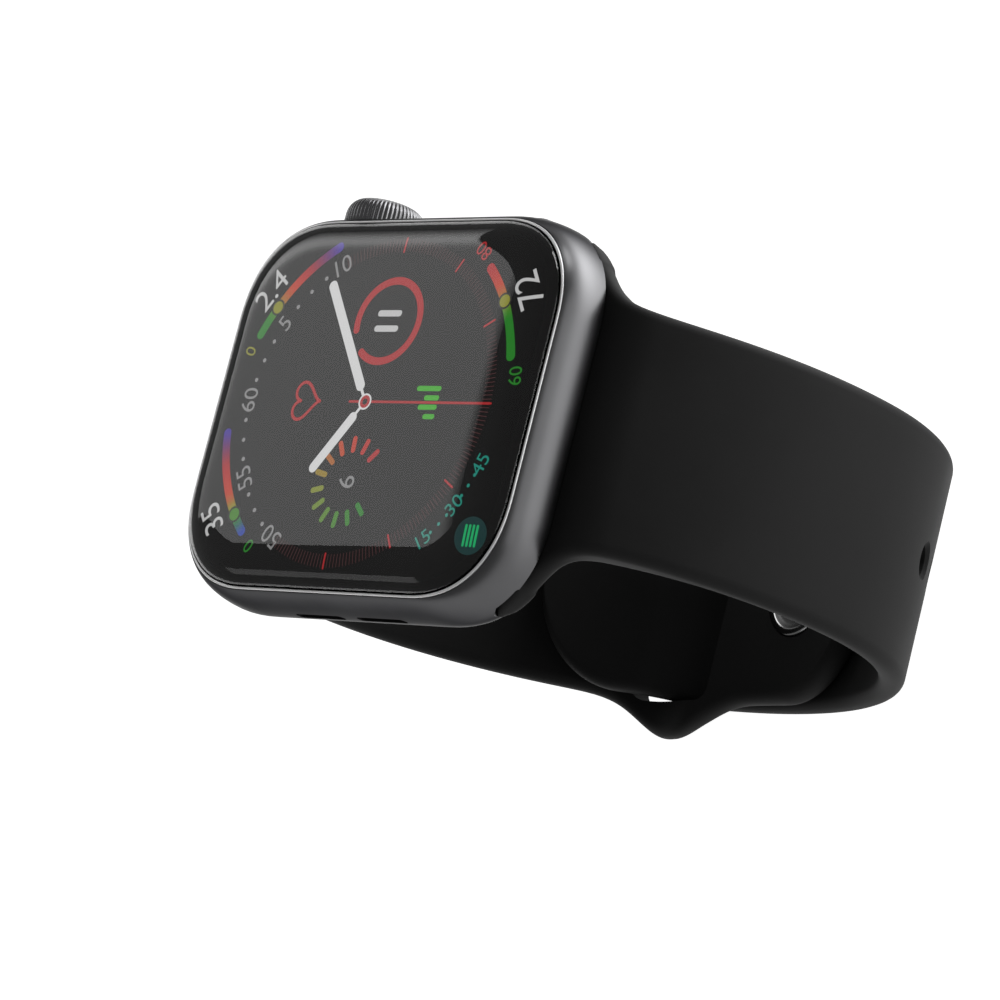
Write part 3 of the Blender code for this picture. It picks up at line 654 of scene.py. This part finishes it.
class Loop:
    def __init__(self, points):
        self.points = points
        self.lengths = [0.0]
        for before, after in zip(points, points[1:]):
            self.lengths.append(self.lengths[-1] + math.dist(before, after))
        self.half = self.lengths[-1] / 2

    def point(self, length):
        i = min(max(bisect.bisect_right(self.lengths, length), 1), len(self.points) - 1)
        part = (length - self.lengths[i - 1]) / (self.lengths[i] - self.lengths[i - 1])
        (y0, z0), (y1, z1) = self.points[i - 1], self.points[i]
        return y0 + (y1 - y0) * part, z0 + (z1 - z0) * part

    def frame(self, length, reach=0.6):
        (y0, z0), (y1, z1) = self.point(length - reach), self.point(length + reach)
        size = math.hypot(y1 - y0, z1 - z0)
        return self.point(length), (-(z1 - z0) / size, (y1 - y0) / size)


def smooth_step(value):
    value = min(max(value, 0.0), 1.0)
    return value * value * (3 - 2 * value)


def strap_depth(y, own_side):
    crossed = smooth_step((y - CROSS_Y[0]) / (CROSS_Y[1] - CROSS_Y[0]))
    share = 1 - crossed if own_side > 0 else crossed
    return share * (STRAP_THICK + LAYER_GAP)


def strap_thickness(length):
    if length < NECK_LENGTH:
        return NECK_THICK
    swell = smooth_step((length - NECK_LENGTH) / 5.0) * math.exp(-(((length - 10.0) / 9.0) ** 2))
    thinner = (NECK_THICK - STRAP_THICK) * math.exp(-(length - NECK_LENGTH))
    return STRAP_THICK + thinner + SHOULDER_EXTRA * swell


def strap_half_width(y, z):
    extra, reach, exponent = FLARE
    if z < LOOP_CENTRE_Z:
        return STRAP_HALF
    return STRAP_HALF + extra * math.exp(-((max(abs(y) - LUG_Y[1], 0.0) / reach) ** exponent))


def section(half, low, high, corner, steps=7, across=14):
    """A strap's cross-section as (x, depth): rounded edges, and points across both faces."""
    corner = min(corner, (high - low) / 2 - 0.03, half - 0.05)
    points = []
    flat = half - corner
    for side_x, side_z, turn in ((1, 1, 0), (-1, 1, 1), (-1, -1, 2), (1, -1, 3)):
        for i in range(steps + 1):
            angle = math.pi / 2 * (turn + i / steps)
            x = side_x * flat + corner * math.cos(angle)
            middle = high - corner if side_z > 0 else low + corner
            points.append((x, middle + corner * math.sin(angle)))
        if turn % 2 == 0:
            z = high if side_z > 0 else low
            points += [(side_x * flat * (1 - 2 * i / across), z) for i in range(1, across)]
    return points


def strap_ring(loop, length, own_side, half, depth, thickness, corner=EDGE_RADIUS):
    (y, z), (normal_y, normal_z) = loop.frame(length)
    return [
        (x, own_side * (y + normal_y * out), z + normal_z * out)
        for x, out in section(half, -depth - thickness, -depth, corner)
    ]


def strap_rings(loop, own_side, end, bulge):
    bar = NECK_THICK + 2 * LUG_EXTRA
    step = LUG_Y[1] - LUG_Y[0]
    rings = []
    bar_shape = ((0.05, 0.95), (0.2, 0.6), (0.5, 0.25), (0.95, 0.03), (1.4, 0.0), (1.9, 0.0), (step - 0.3, 0.0))
    for length, inset in (*bar_shape, (step - 0.05, BAR_BEVEL)):
        half = case_half_x(LUG_Y[0] + length) - LUG_SHORT
        rings.append(strap_ring(loop, length, own_side, half, inset - LUG_EXTRA, bar - 2 * inset, 1.1))
    tip = end - STRAP_HALF
    lengths = [step]
    while lengths[-1] < tip - 0.6:
        near = lengths[-1] < 16.0 or abs(lengths[-1] - loop.half) < 16.0
        lengths.append(lengths[-1] + (0.45 if near else 0.9))
    lengths = [length for length in lengths if length < tip]
    lengths += [tip + STRAP_HALF * math.sin(math.pi / 2 * i / 24) * 0.999 for i in range(25)]
    for length in lengths:
        y, z = loop.point(length)
        half = strap_half_width(y, z)
        if bulge:
            half += BULGE_EXTRA * math.exp(-((abs(y - BULGE_Y) / BULGE_SPREAD) ** BULGE_POWER))
        if length > tip:
            half = math.sqrt(max(STRAP_HALF**2 - (length - tip) ** 2, 0.2))
        depth = strap_depth(own_side * y, own_side)
        rings.append(strap_ring(loop, length, own_side, half, depth, strap_thickness(length)))
    return rings


def piercing(loop, name, length, own_side, profile, sides=48):
    """A lathe cutter along the band's normal; its profile is (depth below the loop, radius)."""
    (y, z), (normal_y, normal_z) = loop.frame(length)
    centre = (0, own_side * y, z)
    return turned(name, profile, centre, (0, -own_side * normal_y, -normal_z), (), sides)


def soft_hole(top, bottom, radius, lip=0.4):
    """A hole's profile whose mouths are rounded by lip."""
    profile = [(top - 1.5, radius + lip)]
    for i in range(7):
        angle = math.pi / 2 * i / 6
        profile.append((top + lip * math.sin(angle), radius + lip * (1 - math.sin(angle))))
    for i in range(7):
        angle = math.pi / 2 * (1 - i / 6)
        profile.append((bottom - lip * math.sin(angle), radius + lip * (1 - math.sin(angle))))
    profile.append((bottom + 1.5, radius + lip))
    return profile


def make_stud(loop, length):
    (y, z), (normal_y, normal_z) = loop.frame(length)
    inside = 2 * STRAP_THICK + LAYER_GAP
    profile = [(-0.75, 0.3), (-0.73, 0.9), (-0.62, 1.4), (-0.45, 1.75), (-0.3, 1.85), (-0.12, 1.85)]
    profile += [(-0.12, POST_RADIUS), (inside - 0.62, POST_RADIUS), (inside - 0.62, DISC_RADIUS)]
    profile += [(inside + 0.06, DISC_RADIUS), (inside + 0.2, DISC_RADIUS - 0.06)]
    profile += [(inside + 0.3, DISC_RADIUS - 0.3), (inside + 0.3, DISC_RADIUS - 0.75)]
    profile += [(inside + 0.2, DISC_RADIUS - 0.95)]
    profile += [(inside + 0.15, DISC_RADIUS - 1.3), (inside + 0.14, 2.0), (inside + 0.14, 0.3)]
    stud = turned(
        "closure_stud", profile, (0, -y, z), (0, normal_y, -normal_z), ("bright", "stud"), 128, None, 35, "band"
    )
    middle = Vector((0, -y, z)) * MM
    axis = Vector((0, normal_y, -normal_z))
    for face in stud.data.polygons:
        centre = face.center - middle
        reach = (centre - axis * centre.dot(axis)).length
        if centre.dot(axis) > (inside - 0.2) * MM and reach < (DISC_RADIUS - 0.8) * MM:
            face.material_index = 1
    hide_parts("closure_pin")


def make_band():
    loop = Loop(loop_points())
    pin_length = loop.half + LOOP_PIN
    holes_pin = loop.half - LOOP_PIN
    layer = STRAP_THICK + LAYER_GAP
    upper = lofted(
        "band_upper", strap_rings(loop, 1, pin_length + STRAP_HALF, True), ("elastomer",), False, 40, "band"
    )
    lower = lofted(
        "band_lower", strap_rings(loop, -1, holes_pin + TAIL_LENGTH, False), ("elastomer",), False, 40, "band"
    )
    middle_y = (SLOT_Y[0] + SLOT_Y[1]) / 2
    half_y = (SLOT_Y[1] - SLOT_Y[0]) / 2
    low = LOOP_CENTRE_Z - LOOP_DEPTH
    rings = []
    for z in (low - 3.0, low + 12.0):
        rings.append([(x, y + middle_y, z) for x, y, z in outline(SLOT_HALF, half_y, SLOT_RADIUS, z, 10)])
    disc = [(layer + STRAP_THICK - 0.72, DISC_RADIUS + 0.1), (9.0, DISC_RADIUS + 0.1)]
    post = [(layer - 1.0, POST_RADIUS + 0.1), (9.0, POST_RADIUS + 0.1)]
    upper_cutters = [lofted("cutter_slot", rings)]
    upper_cutters.append(piercing(loop, "cutter_disc", pin_length, 1, disc, 128))
    upper_cutters.append(piercing(loop, "cutter_post", pin_length, 1, post))
    lower_cutters = []
    first, last = HOLES_PAST_PIN
    for number in range(first, last + 1):
        length = holes_pin - number * HOLE_PITCH
        depth = strap_depth(-loop.point(length)[0], -1)
        profile = soft_hole(depth, depth + STRAP_THICK, HOLE_RADIUS)
        lower_cutters.append(piercing(loop, f"cutter_hole_{number}", length, -1, profile))
    for own_side, cutters in ((1, upper_cutters), (-1, lower_cutters)):
        low = NECK_TOP_Z - NECK_THICK - LUG_EXTRA
        middle = (0, own_side * (LUG_Y[0] + LUG_Y[1]) / 2, low)
        layers = ((-1.0, 0.0), (1.3, 0.0))
        cutters.append(stadium(f"cutter_latch_{own_side}", middle, 5.1, 0.6, layers, (1, 0, 0), (0, 0, 1)))
    carve(upper, upper_cutters, smooth=40)
    carve(lower, lower_cutters, smooth=40)
    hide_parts("strap_12")
    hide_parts("strap_6")
    make_stud(loop, holes_pin)


# --- dial -------------------------------------------------------------------------------------------------

WHITE = (0.72, 0.72, 0.72)
HAND_WHITE = grey(0.8)
SOFT_WHITE = (0.5, 0.5, 0.5)
RED = (0.62, 0.05, 0.08)
DEEP_RED = (0.22, 0.02, 0.03)
ORANGE = (0.7, 0.2, 0.03)
YELLOW = (0.5, 0.5, 0.05)
GREEN = (0.06, 0.45, 0.06)
LIME = (0.2, 0.62, 0.04)
TEAL = (0.03, 0.5, 0.44)
DEEP_TEAL = (0.0, 0.17, 0.17)
MINT = (0.05, 0.62, 0.36)
BLUE = (0.03, 0.2, 0.58)
PURPLE = (0.2, 0.09, 0.55)


def polar(radius, degrees, centre=(0.0, 0.0)):
    angle = math.radians(degrees)
    return Vector((centre[0] + radius * math.cos(angle), centre[1] + radius * math.sin(angle)))


def blend_colours(stops, share):
    for (before, first), (after, second) in zip(stops, stops[1:]):
        if share <= after:
            part = (share - before) / (after - before)
            return tuple(a + (b - a) * part for a, b in zip(first, second))
    return stops[-1][1]


class Dial:
    """Flat lit shapes on the display, collected into one mesh."""

    def __init__(self, height):
        self.bm = bmesh.new()
        self.tint = self.bm.loops.layers.color.new("tint")
        self.height = height

    def face(self, points, colours, layer):
        z = self.height + 0.004 * layer
        verts = [self.bm.verts.new((point[0], point[1], z)) for point in points]
        face = self.bm.faces.new(verts)
        for loop, colour in zip(face.loops, colours):
            loop[self.tint] = (*colour, 1.0)

    def shape(self, points, colour, layer=0):
        self.face(points, [colour] * len(points), layer)

    def disc(self, centre, radius, colour, layer=0):
        self.shape([polar(radius, 360 * i / 40, centre) for i in range(40)], colour, layer)

    def arc(self, centre, radius, width, start, end, stops, layer=0):
        """A band along a circle with round ends; its colour runs through the stops."""
        count = max(int(abs(end - start) / 2.5), 6)
        for i in range(count):
            corners, colours = [], []
            for share, side in ((i, 1), (i, -1), (i + 1, -1), (i + 1, 1)):
                share = share / count
                corners.append(polar(radius + side * width / 2, start + (end - start) * share, centre))
                colours.append(blend_colours(stops, share))
            self.face(corners, colours, layer)
        for angle, share, turn in ((start, 0.0, -1), (end, 1.0, 1)):
            middle = polar(radius, angle, centre)
            direction = turn if end > start else -turn
            points = [polar(width / 2, angle + direction * 180 * k / 12, middle) for k in range(13)]
            self.shape(points, blend_colours(stops, share), layer)

    def bar(self, start, end, width, colour, layer=0):
        """A straight stroke with round ends."""
        start, end = Vector(start), Vector(end)
        turn = math.degrees(math.atan2(end.y - start.y, end.x - start.x))
        points = [polar(width / 2, turn - 90 + 180 * i / 10, end) for i in range(11)]
        points += [polar(width / 2, turn + 90 + 180 * i / 10, start) for i in range(11)]
        self.shape(points, colour, layer)

    def stroke(self, points, width, colour, layer=0):
        for number, (start, end) in enumerate(zip(points, points[1:])):
            self.bar(start, end, width, colour, layer + 0.1 * (number % 2))

    def number(self, text, size, centre, turn, colour, layer=0):
        """Numerals of a given height, turned by degrees."""
        curve = bpy.data.curves.new("numerals", "FONT")
        curve.body = text
        curve.size = 1.0
        curve.align_x = "CENTER"
        curve.align_y = "CENTER"
        curve.resolution_u = 4
        holder = bpy.data.objects.new("numerals", curve)
        mesh = bpy.data.meshes.new_from_object(holder)
        matrix = Matrix.Translation((*centre, 0.0)) @ Matrix.Rotation(math.radians(turn), 4, "Z")
        scale = size / 0.7
        for polygon in mesh.polygons:
            points = [matrix @ (mesh.vertices[i].co * scale) for i in polygon.vertices]
            self.shape([(point.x, point.y) for point in points], colour, layer)
        bpy.data.objects.remove(holder, do_unlink=True)
        bpy.data.meshes.remove(mesh)
        bpy.data.curves.remove(curve)

    def finish(self):
        for face in self.bm.faces:
            face.normal_update()
            if face.normal.z < 0:
                face.normal_flip()
        bmesh.ops.scale(self.bm, vec=(MM, MM, MM), verts=self.bm.verts)
        mesh = bpy.data.meshes.new("dial_graphics")
        self.bm.to_mesh(mesh)
        self.bm.free()
        mesh.materials.append(MATERIALS["dial"])
        obj = bpy.data.objects.new("dial_graphics", mesh)
        bpy.context.scene.collection.objects.link(obj)
        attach(obj, "case")


def draw_track(dial):
    """Minute marks, left out where the numerals run."""
    for number in range(240):
        angle = 90 - 1.5 * number
        if 28 < angle % 360 < 152:
            continue
        if number % 20 == 0:
            dial.bar(polar(14.7, angle), polar(16.0, angle), 0.2, RED)
        else:
            dial.bar(polar(14.8, angle), polar(15.9, angle), 0.09, DEEP_RED)
    for minute, text in ((50, "50"), (55, "55"), (0, "60"), (5, "5"), (10, "10")):
        angle = 90 - 6 * minute
        dial.number(text, 1.8, polar(15.3, angle), angle - 90, SOFT_WHITE)
    for half in (52.5, 57.5, 2.5, 7.5):
        for step in (-1.25, 0, 1.25):
            dial.disc(polar(15.3, 90 - 6 * (half + step)), 0.22, SOFT_WHITE)


def draw_gauges(dial):
    """A coloured scale with a pointer in three corners; numbers and a disc in the fourth."""
    gauges = (
        (29.5, 68.0, 0.74, [(0, PURPLE), (0.35, RED), (0.55, ORANGE), (0.74, YELLOW), (0.85, GREEN), (1, GREEN)]),
        (-42.0, -75.0, 0.42, [(0, RED), (0.25, ORANGE), (0.42, YELLOW), (0.6, GREEN), (1, GREEN)]),
        (101.0, 137.5, 0.8, [(0, PURPLE), (0.3, RED), (0.6, ORANGE), (0.72, YELLOW), (0.85, GREEN), (1, BLUE)]),
    )
    for start, end, share, stops in gauges:
        dial.arc((0, 0), 17.5, 0.95, start, end, stops)
        spot = polar(17.5, start + (end - start) * share)
        dial.disc(spot, 0.82, (0.0, 0.0, 0.0), 1)
        dial.disc(spot, 0.62, blend_colours(stops, share), 2)
    for text, size, radius, angle, colour in (
        ("2.4", 2.4, 19.5, 56.0, WHITE),
        ("72", 2.6, 20.3, -57.5, WHITE),
        ("35", 2.3, 19.9, 126.0, WHITE),
        ("80", 1.35, 18.0, -35.0, RED),
        ("60", 1.35, 18.2, -81.5, GREEN),
        ("0", 1.35, 17.6, 74.0, YELLOW),
        ("0", 1.35, 17.6, 144.0, GREEN),
    ):
        turn = angle - 90 if angle > 0 else angle + 90
        dial.number(text, size, polar(radius, angle), turn, colour)
    for number in range(3):
        angle = -138 + 14.5 * number
        dial.number(("15", "30", "45")[number], 1.45, polar(17.6, angle), angle + 90, TEAL)
    for number in range(8):
        if number % 4:
            dial.disc(polar(17.6, -138 + 3.625 * number), 0.18, TEAL)
    centre = polar(21.3, -125.5)
    dial.disc(centre, 1.75, DEEP_TEAL)
    for number in range(4):
        shift = polar(0.42 * (number - 1.5), 90, centre)
        dial.bar(shift + Vector((-0.9, 0)), shift + Vector((0.9, 0)), 0.26, MINT, 1)


def draw_subdials(dial):
    top, bottom = (7.9, -0.3), (-7.8, -0.3)
    dial.arc(top, 3.95, 0.75, 103.0, 103.0 - 322.0, [(0, RED), (1, RED)])
    for side in (-1, 1):
        dial.bar((top[0] + 0.75 * side, -1.5), (top[0] + 0.75 * side, 0.95), 0.62, WHITE)
    for number in range(12):
        share = number / 11
        angle = 225 - 270 * share
        colour = blend_colours([(0, GREEN), (0.5, YELLOW), (0.75, ORANGE), (1, RED)], share)
        dial.bar(polar(3.1, angle, bottom), polar(4.2, angle, bottom), 0.55, colour)
    dial.number("6", 2.0, (bottom[0], bottom[1] - 0.1), 0, SOFT_WHITE)
    heart = []
    for i in range(41):
        t = 2 * math.pi * i / 40
        x = 16 * math.sin(t) ** 3
        y = 13 * math.cos(t) - 5 * math.cos(2 * t) - 2 * math.cos(3 * t) - math.cos(4 * t)
        heart.append((0.115 * x, 7.9 + 0.115 * y))
    dial.stroke(heart, 0.32, RED)
    for number, height in enumerate((1.0, 1.9, 1.4, 2.6)):
        x = -1.35 + 0.9 * number
        dial.bar((x, -9.1), (x, -9.1 + height), 0.5, LIME)


def draw_hand(dial, degrees, length, layer):
    start, end = polar(1.9, degrees), polar(length - 0.5, degrees)
    dial.bar(polar(0.5, degrees), start, 0.32, HAND_WHITE, layer)
    dial.bar(start, end, 1.05, HAND_WHITE, layer + 1)


def make_dial():
    dial = Dial(GLASS_POCKET_Z + 0.02)
    draw_track(dial)
    draw_gauges(dial)
    draw_subdials(dial)
    draw_hand(dial, 145.0, 8.4, 4)
    draw_hand(dial, 35.5, 14.5, 6)
    dial.bar(polar(2.0, 90), polar(15.8, -90), 0.24, RED, 8)
    dial.disc((0, 0), 0.8, HAND_WHITE, 9)
    dial.disc((0, 0), 0.62, RED, 10)
    dial.disc((0, 0), 0.3, (0.01, 0.01, 0.01), 11)
    dial.finish()


# --- carried-over pieces ----------------------------------------------------------------------------------

CARRIED = {
    "display": ["display_panel"],
    "ceramic": ["rear_cover"],
    "control": ["release_button_12", "release_button_6"],
    "seal": ["display_gasket", "rear_gasket", "crown_seal"],
    "cell": ["battery", "speaker_module", "antenna_frame"],
    "board": ["sensor_board", "crown_sensor"],
    "coil": ["charging_coil"],
    "bright": ["electrode_ring", "lug_latch_12", "lug_latch_6"],
}


def dress_carried():
    chosen = {node: key for key, nodes in CARRIED.items() for node in nodes}
    for name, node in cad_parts.items():
        material = MATERIALS[chosen.get(name, "steel")]
        node.data.materials.clear()
        node.data.materials.append(material)


# --- stage ------------------------------------------------------------------------------------------------


def make_floor():
    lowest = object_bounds()[0].z
    graph = Graph("stage_paper_painted_pools")
    graph.set(Roughness=0.9)
    cloud = graph.noise(3.0, 2.0)
    graph.link(graph.ramp(cloud, [(0.0, grey(0.6)), (1.0, grey(0.66))]), graph.shader.inputs["Base Color"])
    where = graph.add("ShaderNodeTexCoord")
    glow = None
    # Painted pools of light: the floor glows evenly, and brighter in these spots near the watch, so the case
    # metal reflects them as highlights.
    for middle, radius, extra in PAINTED_LIGHT_POOLS:
        reach = graph.add("ShaderNodeVectorMath", operation="DISTANCE")
        reach.inputs[1].default_value = middle
        graph.link(where.outputs["Object"], reach.inputs[0])
        painted_pool = graph.add("ShaderNodeMapRange", interpolation_type="SMOOTHSTEP")
        for socket, value in (("From Min", 0.0), ("From Max", radius), ("To Min", extra), ("To Max", 0.0)):
            painted_pool.inputs[socket].default_value = value
        graph.link(reach.outputs["Value"], painted_pool.inputs["Value"])
        total = graph.add("ShaderNodeMath", operation="ADD")
        total.inputs[1].default_value = 1.02
        if glow:
            graph.link(glow, total.inputs[1])
        graph.link(painted_pool.outputs["Result"], total.inputs[0])
        glow = total.outputs["Value"]
    graph.link(glow, graph.shader.inputs["Emission Strength"])
    graph.link(graph.ramp(cloud, [(0.0, grey(0.93)), (1.0, grey(0.97))]), graph.shader.inputs["Emission Color"])
    bm = bmesh.new()
    bmesh.ops.create_grid(bm, x_segments=1, y_segments=1, size=6.0)
    mesh = bpy.data.meshes.new("floor")
    bm.to_mesh(mesh)
    bm.free()
    floor = bpy.data.objects.new("floor", mesh)
    bpy.context.scene.collection.objects.link(floor)
    floor.location.z = lowest - FLOOR_GAP
    mesh.materials.append(graph.material)


def panel(name, place, aim, size, radiance):
    """A rectangular soft light of a given radiance."""
    light = bpy.data.lights.new(name, "AREA")
    light.shape = "RECTANGLE"
    light.size, light.size_y = size
    light.energy = radiance * math.pi * size[0] * size[1]
    obj = bpy.data.objects.new(name, light)
    obj.location = place
    obj.rotation_euler = (Vector(aim) - Vector(place)).to_track_quat("-Z", "Y").to_euler()
    bpy.context.scene.collection.objects.link(obj)
    return obj


def shade_card(light):
    """Grades the big card: bright where it rolls over the glass edge, soft and slanted on its near side."""
    light.use_nodes = True
    tree = light.node_tree
    emission = tree.nodes["Emission"]
    place = tree.nodes.new("ShaderNodeSeparateXYZ")
    tree.links.new(tree.nodes.new("ShaderNodeNewGeometry").outputs["Position"], place.inputs["Vector"])

    def combine(operation, first, second):
        node = tree.nodes.new("ShaderNodeMath")
        node.operation = operation
        for socket, value in zip(node.inputs, (first, second)):
            if isinstance(value, float):
                socket.default_value = value
            else:
                tree.links.new(value, socket)
        return node.outputs["Value"]

    curve = tree.nodes.new("ShaderNodeFloatCurve")
    points = curve.mapping.curves[0].points
    points[0].location = (0.0, 0.4)
    points[1].location = (1.0, 0.02)
    for x, y in CARD_GRADE:
        points.new(x, y)
    curve.mapping.update()
    tree.links.new(place.outputs["X"], curve.inputs["Value"])
    slant_start, slant = CARD_SLANT
    past = combine("MAXIMUM", combine("SUBTRACT", place.outputs["X"], slant_start), 0.0)
    limit = combine("ADD", combine("MULTIPLY", past, slant), CARD_NEAR_SIDE)
    inside = combine("DIVIDE", combine("SUBTRACT", place.outputs["Y"], limit), CARD_SOFTNESS)
    edge = tree.nodes.new("ShaderNodeClamp")
    tree.links.new(inside, edge.inputs["Value"])
    graded = combine("MULTIPLY", curve.outputs["Value"], CARD_PEAK)
    strength = combine("MULTIPLY", edge.outputs["Result"], graded)
    tree.links.new(strength, emission.inputs["Strength"])


def make_lights():
    world = bpy.data.worlds.new("studio")
    world.use_nodes = True
    world.node_tree.nodes["Background"].inputs["Color"].default_value = (1.0, 1.0, 1.0, 1.0)
    world.node_tree.nodes["Background"].inputs["Strength"].default_value = 0.25
    bpy.context.scene.world = world
    panel("front_box", (0.1, -1.0, 0.1), (0.0, 0.0, 0.0), (0.9, 0.3), 1.3)
    panel("crown_box", (0.95, -0.4, 0.1), (0.0, 0.0, 0.0), (0.4, 0.3), 5.0)
    card = panel("face_card", (0.537, 0.8338, 0.5), (0.537, 0.8338, 0.0), (0.826, 0.7324), 1.25)
    shade_card(card.data)
    panel("edge_strip", (-0.3, 0.57, 0.5), (-0.3, 0.57, 0.0), (0.18, 0.3), 0.6)


def make_camera():
    middle = Vector((0.0, 0.0, RIM_Z * MM))
    data = bpy.data.cameras.new("camera")
    data.lens = 178.45
    data.sensor_width = 36.0
    camera = bpy.data.objects.new("camera", data)
    right = Vector((0.23937, -0.72334, -0.64767)).normalized()
    back = Vector((-0.21838, -0.69008, 0.69000)).normalized()
    up = back.cross(right).normalized()
    right = up.cross(back)
    matrix = Matrix((right, up, back)).transposed().to_4x4()
    matrix.translation = middle + Vector((-0.10508, -0.32359, 0.30436))
    camera.matrix_world = matrix
    bpy.context.scene.collection.objects.link(camera)
    bpy.context.scene.camera = camera


MATERIALS = make_materials()
dress_carried()
make_housing()
make_glass()
make_crown()
make_side_button()
make_back()
make_band()
make_dial()
make_floor()
make_lights()
make_camera()
bpy.context.scene.view_settings.view_transform = "Standard"
